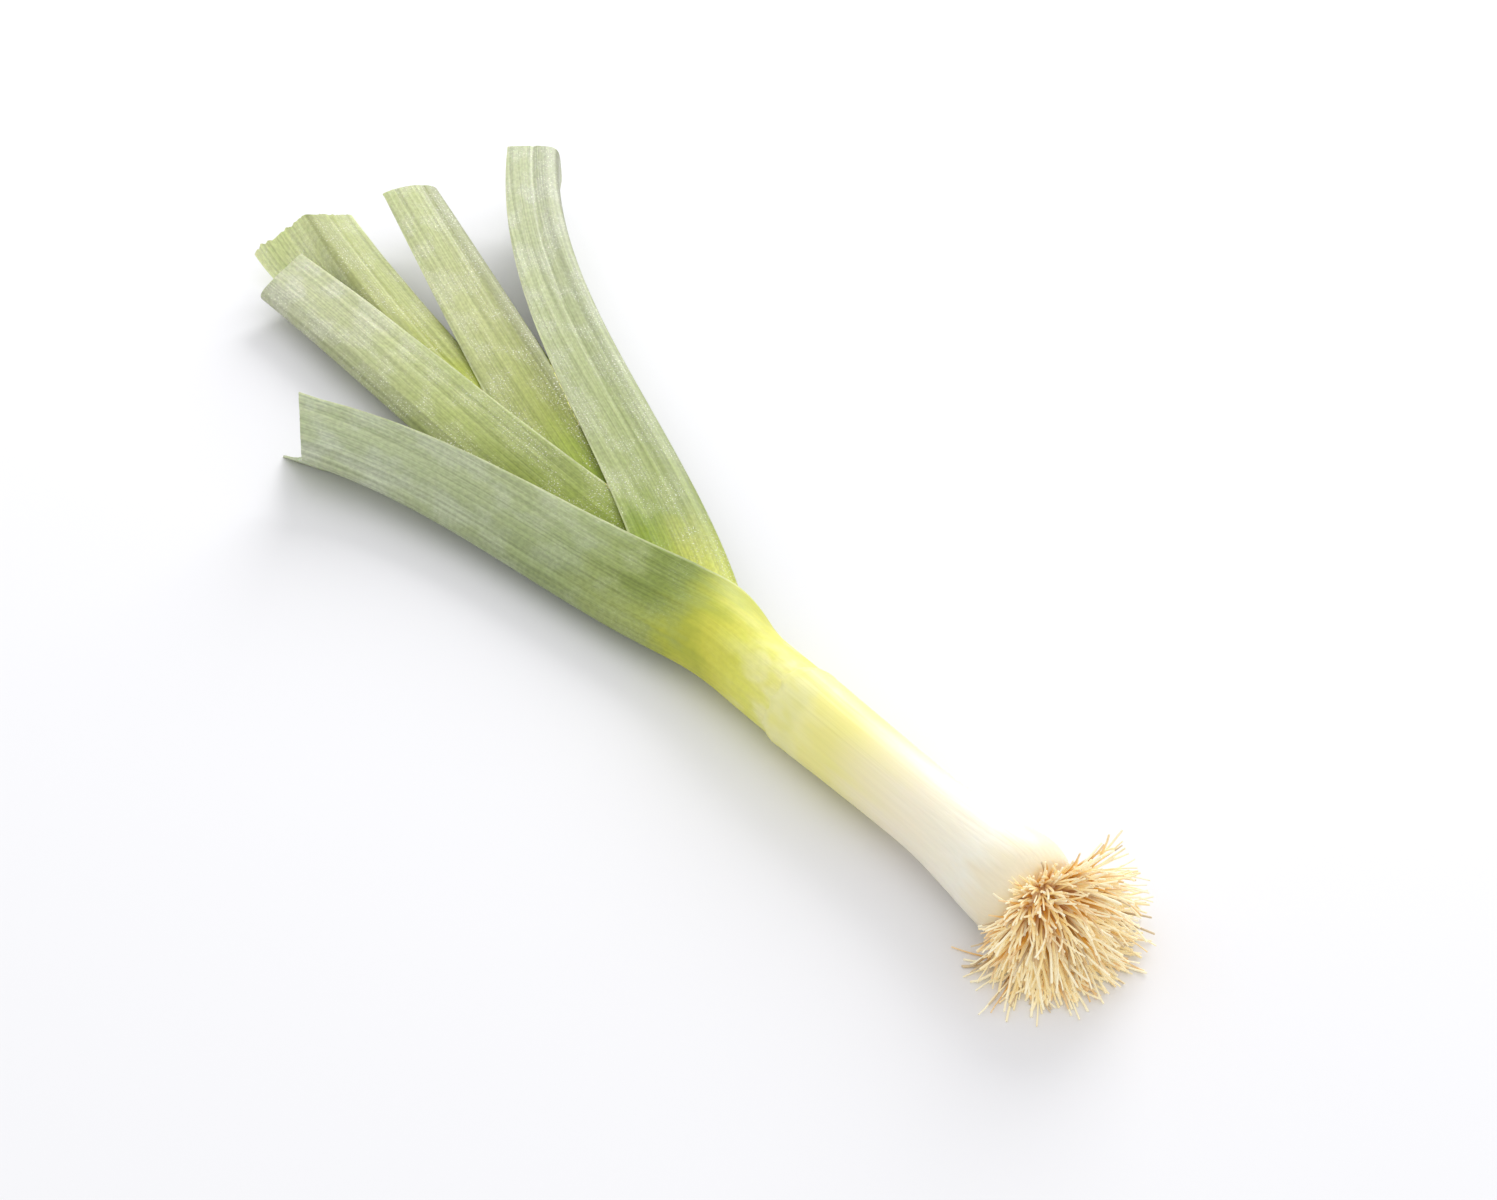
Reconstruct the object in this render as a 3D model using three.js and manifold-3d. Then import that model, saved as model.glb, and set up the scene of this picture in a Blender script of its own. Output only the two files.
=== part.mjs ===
// A whole leek lying on a surface: roots, white shaft and five blades that fan out.
// Millimetres, +Z up. The origin is the small flat spot under the bulb, the roots
// point along +X and the blades along -X.
import * as THREE from 'three';
import { mergeVertices } from 'three/addons/utils/BufferGeometryUtils.js';
import Module from 'manifold-3d';

const wasm = await Module();
wasm.setup();

// Driving dimensions of the shaft
const baseRadius = 13.5;
const bulbRadius = 19.3;
const waistRadius = 15.2;
const collarRadius = 16.6;
const bulbAt = 10;
const waistAt = 58;
const collarAt = 133;
const forkAt = 179;
const shaftSegments = 40;

// How the leek lies
const flatSpotDepth = 0.35;
const axisHeight = bulbRadius - flatSpotDepth;
const axisDrop = Math.atan((bulbRadius - collarRadius) / (forkAt - bulbAt));
const fanTilt = THREE.MathUtils.degToRad(9);
const gap = 0.3;

// Driving dimensions of the sheaths, which stand one in another in the shaft
const cupDepth = 14;
const cupWall = 0.9;
const sheathWall = 1.7;
const layerStep = sheathWall + gap + 0.1;

// Driving dimensions of the blades
const midribThickness = 2.2;
const marginThickness = 0.9;
const midribWidth = 7;
const foldRadius = 6;
const foldRadiusStep = 1.15;
const tipFoldRadius = 2.2;
const bladeRows = 24;
const bladeColumns = 12;
const sectionSteps = 12;
const pathStep = 2;

// Where a sheath turns into a blade: the lengths over which each change comes about,
// before and after the fork, or before and after the blade's own mouth
const bendAtFork = [-25, 20];
const unwrapAtFork = [-25, 30];
const thinAtFork = [0, 40];
const partAtMouth = [-10, 20];
const openAtMouth = [-12, 48];
const foldTightens = [0.2, 0.8];

// Driving dimensions of the root tuft. Angles are in radians.
const plateRadius = 12.5;
const rootCount = 120;
const rootRadius = 0.75;
const rootTaper = 0.45;
const rootLengths = [22, 36];
const upperShortening = 0.2;
const upperUprightness = 0.45;
const stubTurn = 2.3;
const stubShortening = 0.55;
const stubLean = 0.6;
const rootInset = 1.5;
const rimLean = 1.35;
const turnSpread = 0.25;
const leanSpread = 0.25;
const bendSpread = 0.45;
const rootSags = [0.15, 0.6];
const firstSag = 0.45;
const rootClearance = 0.1;
const rootSegments = 4;
const rootSides = 3;
const rootSeed = 20;

// The five blades, from the outermost to the innermost. Each one is folded along
// its midrib, and the midribs lie in turn on the left and on the right of the fan.
// Angles are in degrees, at the fork, half way along and at the tip: turn is the way
// out of the fan's middle, climb the way up from its plane, front and back how far
// each half of the blade stands off that plane, arch how far a half bends over
// towards its margin, and roll how far the whole fold tips its midrib down. The cut
// across the tip runs out towards the margins by a share of the half's width. The
// back half is as wide as the front half times backWidth.
const blades = {
  leaf_outer_left: {
    side: -1, mouth: forkAt, length: 202, width: 41, tipWidth: 25, backWidth: 1,
    turn: [15, 10, 27], climb: [-1, 4.05, 9], front: [8, 14, 42], back: [8, 14, 54],
    arch: [0, 0, 0], roll: [0, 0, 0], cutFront: 0.4, cutBack: 0.8,
  },
  leaf_outer_right: {
    side: 1, mouth: forkAt + 4, length: 328, width: 38, tipWidth: 21.5, backWidth: 0.9,
    turn: [27, 18.3, 37], climb: [0, -0.55, 0], front: [8, 14, 50], back: [0, 17, 50],
    arch: [0, 0, 10], roll: [0, -14, -40], cutFront: 0.1, cutBack: 0.2,
  },
  leaf_middle_left: {
    side: -1, mouth: forkAt + 14, length: 298, width: 40, tipWidth: 26, backWidth: 1,
    turn: [5, -1, 1], climb: [0, 0.5, 1], front: [0, 4, 20], back: [0, 4, 20],
    arch: [0, 0, 5], roll: [0, 0, 0], cutFront: 0, cutBack: 0,
  },
  leaf_middle_right: {
    side: 1, mouth: forkAt + 26, length: 302, width: 40, tipWidth: 26, backWidth: 0.85,
    turn: [11, 14, 14], climb: [0, 0, 0], front: [0, 6, 35], back: [0, 5, 20],
    arch: [0, 10, 45], roll: [0, 0, 0], cutFront: 0.1, cutBack: 0.1,
  },
  leaf_inner: {
    side: -1, mouth: forkAt + 36, length: 304, width: 22, tipWidth: 23, backWidth: 1.22,
    turn: [-1, -5.5, -12], climb: [0, 1.7, 2.6], front: [0, 8, 52], back: [0, 4, 88],
    arch: [0, 0, 0], roll: [0, -15, -80], cutFront: 0, cutBack: -0.1,
  },
};

const degrees = THREE.MathUtils.degToRad;
const mix = THREE.MathUtils.lerp;
const share = (value) => THREE.MathUtils.clamp(value, 0, 1);

// How far a change has come about, from 0 before it to 1 after it
const over = (value, [from, to]) => THREE.MathUtils.smoothstep(value, from, to);

// A smooth run through three values, at t = 0, 0.5 and 1
const through = ([first, middle, last], t) => (
  first * (1 - t) * (1 - 2 * t) + 4 * middle * t * (1 - t) + last * t * (2 * t - 1)
);

// From the leek's own frame, with its axis along -X and the fan flat, to the frame
// in which it lies on the surface
const lying = new THREE.Matrix4()
  .makeTranslation(bulbAt, 0, axisHeight + Math.sin(axisDrop) * bulbAt)
  .multiply(new THREE.Matrix4().makeRotationY(-axisDrop))
  .multiply(new THREE.Matrix4().makeRotationX(fanTilt));

// A solid from points and triangles, whichever way round they all run
function solidFrom(points, triangles) {
  const vertProperties = new Float32Array(points.flatMap((point) => point.toArray()));
  const made = (triVerts) => new wasm.Manifold(new wasm.Mesh({ numProp: 3, vertProperties, triVerts }));
  const solid = made(new Uint32Array(triangles.flat()));
  if (solid.volume() > 0) return solid;
  return made(new Uint32Array(triangles.flatMap(([a, b, c]) => [a, c, b])));
}

function solidFromGeometry(geometry) {
  geometry.deleteAttribute('normal');
  geometry.deleteAttribute('uv');
  const merged = mergeVertices(geometry);
  const position = merged.getAttribute('position');
  const points = [];
  for (let i = 0; i < position.count; i += 1) {
    points.push(new THREE.Vector3().fromBufferAttribute(position, i));
  }
  const corners = merged.getIndex();
  const triangles = [];
  for (let i = 0; i < corners.count; i += 3) {
    const [a, b, c] = [corners.getX(i), corners.getX(i + 1), corners.getX(i + 2)];
    if (a !== b && b !== c && c !== a) triangles.push([a, b, c]);
  }
  return solidFrom(points, triangles);
}

function geometryFrom(solid) {
  const mesh = solid.getMesh();
  const geometry = new THREE.BufferGeometry();
  geometry.setAttribute('position', new THREE.BufferAttribute(mesh.vertProperties, mesh.numProp));
  geometry.setIndex(new THREE.BufferAttribute(mesh.triVerts, 1));
  return geometry;
}

function largestPiece(solid) {
  return solid.decompose().sort((a, b) => b.volume() - a.volume())[0];
}

// A smooth outline through pairs of distance from the base and radius
function rounded(profile) {
  const curve = new THREE.SplineCurve(profile.map(([s, radius]) => new THREE.Vector2(s, radius)));
  return curve.getPoints(profile.length * 2).map((point) => point.toArray());
}

// A solid turned about the leek's axis, from pairs of distance from the base and radius
function turned(profile, segments) {
  const [start, end] = [profile[0][0], profile.at(-1)[0]];
  const outline = [[start, 0], ...profile, [end, 0]].map(([s, radius]) => new THREE.Vector2(radius, s));
  const geometry = new THREE.LatheGeometry(outline, segments);
  return solidFromGeometry(geometry.rotateZ(Math.PI / 2).applyMatrix4(lying));
}

// Everything under the surface that the leek lies on
const groundSize = new THREE.Vector3(1200, 800, 100);
const ground = solidFromGeometry(
  new THREE.BoxGeometry(...groundSize.toArray()).translate(0, 0, -groundSize.z / 2),
);

// The shaft: bulb, waist and the collar that the outer sheath ends in. The blades'
// sheaths stand in the cup inside the collar.
function shaftSolid() {
  const body = turned(rounded([
    [0, baseRadius], [2.5, 16.6], [bulbAt, bulbRadius], [20, 18.8], [35, 17],
    [waistAt, waistRadius], [95, 15.6], [collarAt - 8, 16.3],
    [collarAt - 3, collarRadius], [collarAt, collarRadius],
  ]), shaftSegments);
  const cupRadius = collarRadius - cupWall;
  const cup = turned([[collarAt - cupDepth, cupRadius], [collarAt + 1, cupRadius]], shaftSegments);
  return body.subtract(cup).subtract(ground);
}

// The path of a blade's midrib, one frame for each step along it. Outward points
// from the fold to the midrib's outer side, and across stands on the fan's plane.
function midribPath(blade, sheathRadius) {
  const start = collarAt - cupDepth + gap;
  const tip = blade.mouth + blade.length;
  const end = tip + blade.tipWidth;
  const point = new THREE.Vector3(-start, blade.side * sheathRadius, 0);
  const frames = [];
  for (let s = start; s <= end; s += pathStep) {
    const free = over(s - forkAt, bendAtFork);
    const far = share((s - forkAt) / (tip - forkAt));
    const turn = degrees(free * through(blade.turn, far));
    const climb = degrees(free * through(blade.climb, far));
    const roll = degrees(free * through(blade.roll, far));
    const along = new THREE.Vector3(
      -Math.cos(turn) * Math.cos(climb),
      blade.side * Math.sin(turn) * Math.cos(climb),
      Math.sin(climb),
    );
    const outward = new THREE.Vector3(Math.sin(turn), blade.side * Math.cos(turn), 0);
    const across = new THREE.Vector3().crossVectors(outward, along).multiplyScalar(blade.side);
    frames.push({
      point: point.clone(),
      outward: outward.clone().multiplyScalar(Math.cos(roll)).addScaledVector(across, -Math.sin(roll)),
      across: across.clone().multiplyScalar(Math.cos(roll)).addScaledVector(outward, Math.sin(roll)),
    });
    point.addScaledVector(along, pathStep);
  }
  return (s) => {
    const place = THREE.MathUtils.clamp((s - start) / pathStep, 0, frames.length - 1);
    const before = Math.min(Math.floor(place), frames.length - 2);
    const [near, next] = [frames[before], frames[before + 1]];
    const between = (key) => near[key].clone().lerp(next[key], place - before);
    return { point: between('point'), outward: between('outward'), across: between('across') };
  };
}

// One blade with its sheath: a sheet that is wrapped round in the sheath and folded
// into a narrow V in the blade. Layer 0 is the outermost, and grow is how much
// larger than the blade the solid is all round.
function bladeSolid(blade, layer, grow) {
  const sheathRadius = collarRadius - cupWall - gap - sheathWall / 2 - layer * layerStep;
  const frameAt = midribPath(blade, sheathRadius);
  const start = collarAt - cupDepth + gap - grow;
  const tip = blade.mouth + blade.length;
  const closedWidth = Math.PI * sheathRadius - gap / 2;
  const [outer, inner] = [[], []];

  const pushPoint = (row, across) => {
    const side = across < 0 ? -1 : 1;
    const front = side > 0;
    const cut = Math.abs(across) * blade.tipWidth * (front ? blade.cutFront : blade.cutBack);
    const s = mix(start, tip, row) + cut * row ** 4;
    const far = share((s - blade.mouth) / blade.length);

    const openWidth = mix(blade.width, blade.tipWidth, far) * (front ? 1 : blade.backWidth);
    const width = mix(closedWidth, openWidth, over(s - blade.mouth, partAtMouth)) + grow;
    const reach = Math.abs(across) * width;

    const opened = over(s - blade.mouth, openAtMouth);
    const stand = degrees(through(front ? blade.front : blade.back, far) * opened);
    const arch = degrees(through(blade.arch, far) * opened);
    const round = mix(foldRadius - layer * foldRadiusStep, tipFoldRadius, over(far, foldTightens));
    const unwrapped = over(s - forkAt, unwrapAtFork);
    const angleAt = (d) => {
      const folded = (Math.PI / 2 - stand) * (1 - Math.exp(-d / round)) + (arch * d) / width;
      return mix(d / sheathRadius, folded, unwrapped);
    };

    let [inward, upward] = [0, 0];
    for (let k = 0; k < sectionSteps; k += 1) {
      const angle = angleAt((reach * (k + 0.5)) / sectionSteps);
      inward += (Math.sin(angle) * reach) / sectionSteps;
      upward += (Math.cos(angle) * reach) / sectionSteps;
    }
    const frame = frameAt(s);
    const centre = frame.point.clone()
      .addScaledVector(frame.outward, -inward)
      .addScaledVector(frame.across, side * upward);
    const edge = angleAt(reach);
    const normal = frame.outward.clone().multiplyScalar(Math.cos(edge))
      .addScaledVector(frame.across, side * Math.sin(edge));

    const nearMidrib = Math.exp(-((reach / midribWidth) ** 2));
    const bladeThickness = mix(marginThickness, midribThickness, nearMidrib);
    const half = mix(sheathWall, bladeThickness, over(s - forkAt, thinAtFork)) / 2 + grow;
    outer.push(centre.clone().addScaledVector(normal, half).applyMatrix4(lying));
    inner.push(centre.clone().addScaledVector(normal, -half).applyMatrix4(lying));
  };

  for (let i = 0; i <= bladeRows; i += 1) {
    for (let j = 0; j <= bladeColumns; j += 1) pushPoint(i / bladeRows, (2 * j) / bladeColumns - 1);
  }
  return sheetSolid(outer, inner, bladeRows, bladeColumns);
}

// A closed sheet from two grids of points, split into triangles alike on both faces
function sheetSolid(outer, inner, rows, columns) {
  const far = outer.length;
  const at = (i, j) => i * (columns + 1) + j;
  const triangles = [];
  const quad = (a, b, c, d) => triangles.push([a, b, c], [a, c, d]);
  for (let i = 0; i < rows; i += 1) {
    for (let j = 0; j < columns; j += 1) {
      const [a, b, c, d] = [at(i, j), at(i, j + 1), at(i + 1, j + 1), at(i + 1, j)];
      triangles.push([a, b, c], [a, c, d], [far + a, far + c, far + b], [far + a, far + d, far + c]);
    }
    quad(at(i, 0), at(i + 1, 0), far + at(i + 1, 0), far + at(i, 0));
    quad(at(i, columns), far + at(i, columns), far + at(i + 1, columns), at(i + 1, columns));
  }
  for (let j = 0; j < columns; j += 1) {
    quad(at(0, j), far + at(0, j), far + at(0, j + 1), at(0, j + 1));
    quad(at(rows, j), at(rows, j + 1), far + at(rows, j + 1), far + at(rows, j));
  }
  return solidFrom([...outer, ...inner], triangles);
}

// Repeatable random numbers from 0 to 1, by a linear congruential rule
function randomFrom(seed) {
  const [factor, step, range] = [1664525, 1013904223, 2 ** 32];
  let state = seed;
  return () => {
    state = (state * factor + step) % range;
    return state / range;
  };
}

// The root tuft: a low plate under the bulb and the roots that grow from all of it,
// set out in a spiral and leaning further out towards the plate's rim. The upper ones
// are shorter, and on one side they are stubs.
function rootsSolid() {
  const plate = turned(rounded([
    [-gap, plateRadius - 1.5], [-2, plateRadius], [-4, plateRadius - 1.5], [-6, plateRadius / 2],
  ]), 24);
  const random = randomFrom(rootSeed);
  const spread = (width) => (2 * random() - 1) * width;
  const goldenAngle = Math.PI * (3 - Math.sqrt(5));
  const roots = [];
  for (let i = 0; i < rootCount; i += 1) {
    const out = Math.sqrt((i + 0.5) / rootCount);
    const turn = i * goldenAngle + spread(turnSpread);
    const upper = Math.max(Math.sin(turn), 0) ** 2;
    const stubby = Math.max(Math.cos(turn - stubTurn), 0);
    roots.push(rootSolid({
      out,
      turn,
      lean: out * rimLean * (1 - upperUprightness * upper + stubLean * stubby) + spread(leanSpread),
      length: mix(...rootLengths, random())
        * (1 - out * upperShortening * Math.sin(turn)) * (1 - out * stubShortening * stubby),
      bend: spread(bendSpread),
      sag: mix(...rootSags, random()),
    }));
  }
  return largestPiece(wasm.Manifold.union([plate, ...roots]));
}

// One root: a slim three-sided taper that bends, sags and comes to lie on the surface
function rootSolid({ out, turn, lean, length, bend, sag }) {
  const up = new THREE.Vector3(0, 0, 1);
  const radial = new THREE.Vector3(0, Math.cos(turn), Math.sin(turn));
  const sideways = new THREE.Vector3(0, -Math.sin(turn), Math.cos(turn)).transformDirection(lying);
  const point = new THREE.Vector3(2 + 2 * (1 - out), 0, 0)
    .addScaledVector(radial, out * (plateRadius - rootInset))
    .applyMatrix4(lying);
  const direction = new THREE.Vector3(Math.cos(lean), 0, 0)
    .addScaledVector(radial, Math.sin(lean))
    .transformDirection(lying)
    .addScaledVector(up, -sag * firstSag)
    .normalize();

  const points = [];
  for (let i = 0; i <= rootSegments; i += 1) {
    const thin = mix(rootRadius, rootRadius * rootTaper, i / rootSegments);
    const lift = up.clone().addScaledVector(direction, -direction.z).normalize();
    const level = new THREE.Vector3().crossVectors(direction, lift);
    const lowest = thin + rootClearance;
    if (point.z < lowest) {
      point.z = lowest;
      direction.setZ(Math.max(direction.z, 0)).normalize();
    }
    for (let k = 0; k < rootSides; k += 1) {
      const angle = (2 * Math.PI * k) / rootSides + Math.PI / 2;
      points.push(point.clone()
        .addScaledVector(level, Math.cos(angle) * thin)
        .addScaledVector(lift, Math.sin(angle) * thin));
    }
    point.addScaledVector(direction, length / rootSegments);
    direction.addScaledVector(sideways, bend / rootSegments)
      .addScaledVector(up, -sag / rootSegments)
      .normalize();
  }

  const triangles = [[2, 1, 0]];
  for (let i = 0; i < rootSegments; i += 1) {
    for (let k = 0; k < rootSides; k += 1) {
      const [a, b] = [i * rootSides + k, i * rootSides + ((k + 1) % rootSides)];
      triangles.push([a, b, b + rootSides], [a, b + rootSides, a + rootSides]);
    }
  }
  const last = rootSegments * rootSides;
  triangles.push([last, last + 1, last + 2]);
  return solidFrom(points, triangles);
}

const leek = new THREE.Group();

function addPiece(name, solid, colour, roughness) {
  const material = new THREE.MeshStandardMaterial({ color: colour, roughness, metalness: 0 });
  const mesh = new THREE.Mesh(geometryFrom(solid), material);
  mesh.name = name;
  leek.add(mesh);
}

addPiece('roots', rootsSolid(), 0xd9b878, 0.8);
addPiece('shaft', shaftSolid(), 0xf0efd0, 0.4);

// Each blade is made from the outermost inwards, and cut clear of those outside it
const bladeColours = [0x8fa67c, 0xa3b58a, 0x9fb27e, 0xb0bd85, 0xb5c470];
const outside = [];
Object.entries(blades).forEach(([name, blade], layer) => {
  const whole = bladeSolid(blade, layer, 0).subtract(ground);
  const clear = outside.reduce((solid, other) => solid.subtract(other), whole);
  addPiece(name, largestPiece(clear), bladeColours[layer], 0.5);
  outside.push(bladeSolid(blade, layer, gap));
});

export default leek;
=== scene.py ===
import math
import random

import bmesh
import bpy
import numpy as np
from mathutils import Matrix, Vector, noise


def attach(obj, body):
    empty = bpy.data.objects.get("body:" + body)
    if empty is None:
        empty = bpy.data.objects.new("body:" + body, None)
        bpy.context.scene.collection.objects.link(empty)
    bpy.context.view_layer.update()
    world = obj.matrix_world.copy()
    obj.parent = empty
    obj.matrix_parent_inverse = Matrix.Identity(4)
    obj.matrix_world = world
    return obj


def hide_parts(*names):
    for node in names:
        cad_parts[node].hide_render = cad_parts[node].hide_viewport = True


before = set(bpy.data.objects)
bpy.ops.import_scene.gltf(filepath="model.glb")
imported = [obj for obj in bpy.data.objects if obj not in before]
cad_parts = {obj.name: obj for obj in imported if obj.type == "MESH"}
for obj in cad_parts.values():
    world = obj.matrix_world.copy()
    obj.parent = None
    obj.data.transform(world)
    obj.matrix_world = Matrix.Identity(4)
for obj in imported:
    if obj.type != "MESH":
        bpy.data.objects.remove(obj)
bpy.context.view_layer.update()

# Shaft
# The bulb and the white stalk are the bases of the leaves, grown tightly round each
# other. The outermost one is a thin skin, which ends in a torn collar below the fork.
mm = 0.001
base_radius = 13.5 * mm
bulb_radius = 19.3 * mm
waist_radius = 15.2 * mm
collar_radius = 16.6 * mm
bulb_at = 10 * mm
waist_at = 58 * mm
collar_at = 133 * mm
fork_at = 179 * mm
leek_length = 600 * mm
flat_spot_depth = 0.35 * mm
cup_depth = 14 * mm
cup_radius = 15.5 * mm
shaft_turns = 160
swell_height = 0.3 * mm
line_height = 0.1 * mm
wrinkle_height = 0.16 * mm
tear_depth = 3 * mm
nick_depth = 1.2 * mm
weld_distance = 0.001 * mm
sharp_angle = math.radians(50)

sheath_colours = {
    2 * mm: (247, 235, 206),
    14 * mm: (252, 246, 228),
    50 * mm: (252, 241, 214),
    70 * mm: (249, 239, 190),
    90 * mm: (244, 237, 150),
    130 * mm: (243, 238, 142),
    152 * mm: (231, 229, 108),
}
painted_highlight_cream = (251, 248, 206)
rim_cream = (253, 252, 228)
foot_straw = (238, 214, 160)
line_spots = (14, 900, 900)
streak_spots = (12, 170, 170)
blotch_spots = (60, 110, 110)
blotch_edge = (0.42, 0.72)
streak_reach = 24 * mm

axis_height = bulb_radius - flat_spot_depth
axis_drop = math.atan((bulb_radius - collar_radius) / (fork_at - bulb_at))
fan_tilt = math.radians(9)
lying = (
    Matrix.Translation((bulb_at, 0, axis_height + math.sin(axis_drop) * bulb_at))
    @ Matrix.Rotation(-axis_drop, 4, "Y")
    @ Matrix.Rotation(fan_tilt, 4, "X")
)


def rounded(points, steps=6):
    """Points on a smooth curve through the given ones."""
    made = []
    for i in range(len(points) - 1):
        nearby = [points[max(i - 1, 0)], points[i], points[i + 1], points[min(i + 2, len(points) - 1)]]
        a, b, c, d = (np.array(point) for point in nearby)
        for t in np.arange(steps) / steps:
            bend = (2 * a - 5 * b + 4 * c - d) * t**2 + (3 * b - a - 3 * c + d) * t**3
            made.append((2 * b + (c - a) * t + bend) / 2)
    return made + [np.array(points[-1])]


def over(value, start, end):
    """How far a change has come about, from 0 at its start to 1 at its end."""
    share = np.clip((value - start) / (end - start), 0, 1)
    return share * share * (3 - 2 * share)


def turned(outline, turns):
    """A bmesh turned about the leek's axis, from pairs of distance from the base and radius."""
    made = bmesh.new()
    corners = [made.verts.new((-s, radius, 0)) for s, radius in outline]
    for here, after in zip(corners, corners[1:]):
        made.edges.new((here, after))
    bmesh.ops.spin(
        made, geom=made.verts[:] + made.edges[:], cent=(0, 0, 0), axis=(1, 0, 0),
        angle=math.tau, steps=turns, use_merge=True,
    )
    bmesh.ops.remove_doubles(made, verts=made.verts, dist=weld_distance)
    bmesh.ops.recalc_face_normals(made, faces=made.faces)
    return made


def piece_from(made, name, finish, node):
    """Makes a finished bmesh the piece that stands for one of the leek's nodes."""
    mesh = bpy.data.meshes.new(name)
    made.to_mesh(mesh)
    made.free()
    mesh.shade_smooth()
    mesh.set_sharp_from_angle(angle=sharp_angle)
    mesh.materials.append(finish.material)
    piece = bpy.data.objects.new(name, mesh)
    bpy.context.scene.collection.objects.link(piece)
    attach(piece, "root")
    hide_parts(node)
    return piece


class Signal:
    """A socket in a finish. Arithmetic on it adds Math nodes."""

    def __init__(self, finish, socket):
        self.finish = finish
        self.socket = socket

    def math(self, operation, *values):
        return self.finish.node("ShaderNodeMath", {"operation": operation}, dict(enumerate(values)))

    def __add__(self, other):
        return self.math("ADD", self, other)

    def __sub__(self, other):
        return self.math("SUBTRACT", self, other)

    def __rsub__(self, other):
        return self.math("SUBTRACT", other, self)

    def __mul__(self, other):
        return self.math("MULTIPLY", self, other)

    def __abs__(self):
        return self.math("ABSOLUTE", self)

    __radd__ = __add__
    __rmul__ = __mul__


class Finish:
    """A procedural material: one Principled shader and the nodes that feed it."""

    def __init__(self, name, constants):
        self.material = bpy.data.materials.new(name)
        self.material.use_nodes = True
        self.tree = self.material.node_tree
        self.shader = self.tree.nodes["Principled BSDF"]
        for socket, value in constants.items():
            self.shader.inputs[socket].default_value = value

    def node(self, kind, settings, sockets, output=0):
        made = self.tree.nodes.new(kind)
        for setting, value in settings.items():
            if setting == "stops":
                self.set_stops(made.color_ramp.elements, value)
            else:
                setattr(made, setting, value)
        self.connect(made, sockets)
        return Signal(self, made.outputs[output])

    def set_stops(self, elements, stops):
        for position, _ in stops[2:]:
            elements.new(position)
        for element, (position, shade) in zip(elements, stops):
            element.position = position
            element.color = shade

    def connect(self, node, sockets):
        for socket, value in sockets.items():
            if isinstance(value, Signal):
                self.tree.links.new(value.socket, node.inputs[socket])
            else:
                node.inputs[socket].default_value = value

    def feed(self, **sockets):
        self.connect(self.shader, {name.replace("_", " "): value for name, value in sockets.items()})

    def place(self):
        return self.node("ShaderNodeTexCoord", {}, {}, "Object")

    def attribute(self, name):
        return self.node("ShaderNodeAttribute", {"attribute_name": name}, {}, "Vector")

    def part(self, vector, axis):
        return self.node("ShaderNodeSeparateXYZ", {}, {0: vector}, axis)

    def times(self, vector, factor):
        return self.node("ShaderNodeVectorMath", {"operation": "MULTIPLY"}, {0: vector, 1: factor})

    def along_leek(self, distance, colours):
        """The colour at a distance from the leek's base, between pairs of distance and colour."""
        stops = [(place / leek_length, colour(shade)) for place, shade in sorted(colours.items())]
        return self.node("ShaderNodeValToRGB", {"stops": stops}, {0: distance * (1 / leek_length)})

    def grain(self, vector, spots, detail):
        """Noise with a number of spots in a metre along each axis."""
        sockets = {"Vector": self.times(vector, spots), "Scale": 1.0, "Detail": detail}
        return self.node("ShaderNodeTexNoise", {}, sockets, "Fac")

    def over(self, value, start, end):
        """How far a change has come about, from 0 at its start to 1 at its end."""
        sockets = {"Value": value, "From Min": start, "From Max": end}
        return self.node("ShaderNodeMapRange", {"interpolation_type": "SMOOTHSTEP"}, sockets)

    def mix(self, factor, first, second):
        sockets = {0: factor, 6: first, 7: second}
        return self.node("ShaderNodeMix", {"data_type": "RGBA"}, sockets, 2)

    def tint(self, factor, vector, shade, untinted=(1, 1, 1)):
        """A colour multiplied by a tint, as far as the factor says."""
        return self.times(vector, self.mix(factor, (*untinted, 1), (*shade, 1)))

    def bump(self, height, distance):
        return self.node("ShaderNodeBump", {}, {"Height": height, "Distance": distance}, "Normal")


def colour(shade):
    """A colour given as a screen shows it, from 0 to 255, as the shader takes it."""
    return (*(((value / 255 + 0.055) / 1.055) ** 2.4 for value in shade), 1)


def shaft_finish():
    """Cream at the bulb, yellow-green towards the neck, with fine lines along the stalk and painted
    highlights on the neck.
    """
    finish = Finish("shaft skin", {
        "Subsurface Weight": 0.2, "Subsurface Scale": 0.003, "Subsurface Radius": (1, 0.8, 0.5),
        "Specular IOR Level": 0.4,
    })
    place = finish.place()
    along = 0 - finish.part(place, "X")
    lines = finish.grain(place, line_spots, 4.0)
    streaks = finish.grain(place, streak_spots, 2.0)
    blotches = finish.grain(place, blotch_spots, 2.0)

    skin = finish.along_leek(along + streaks * streak_reach - streak_reach / 2, sheath_colours)
    # Painted highlights: pale cream blotches along the neck, where its wrinkles catch the light.
    green = finish.over(along, 85 * mm, 110 * mm)
    painted_highlights = finish.over(blotches, *blotch_edge) * green
    skin = finish.mix(painted_highlights * 0.35, skin, colour(painted_highlight_cream))
    rim = finish.over(along, collar_at - 2 * mm, collar_at)
    skin = finish.mix(rim * 0.6, skin, colour(rim_cream))
    foot = finish.over(along, -4 * mm, -bulb_at) * finish.over(lines, 0.25, 0.6)
    skin = finish.mix(foot * 0.6, skin, colour(foot_straw))
    skin = finish.times(skin, lines * 0.12 + 0.94)
    finish.feed(
        Base_Color=skin,
        Roughness=lines * 0.2 + 0.3,
        Normal=finish.bump(lines * 0.5 + streaks, 0.2 * mm),
    )
    return finish


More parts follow.
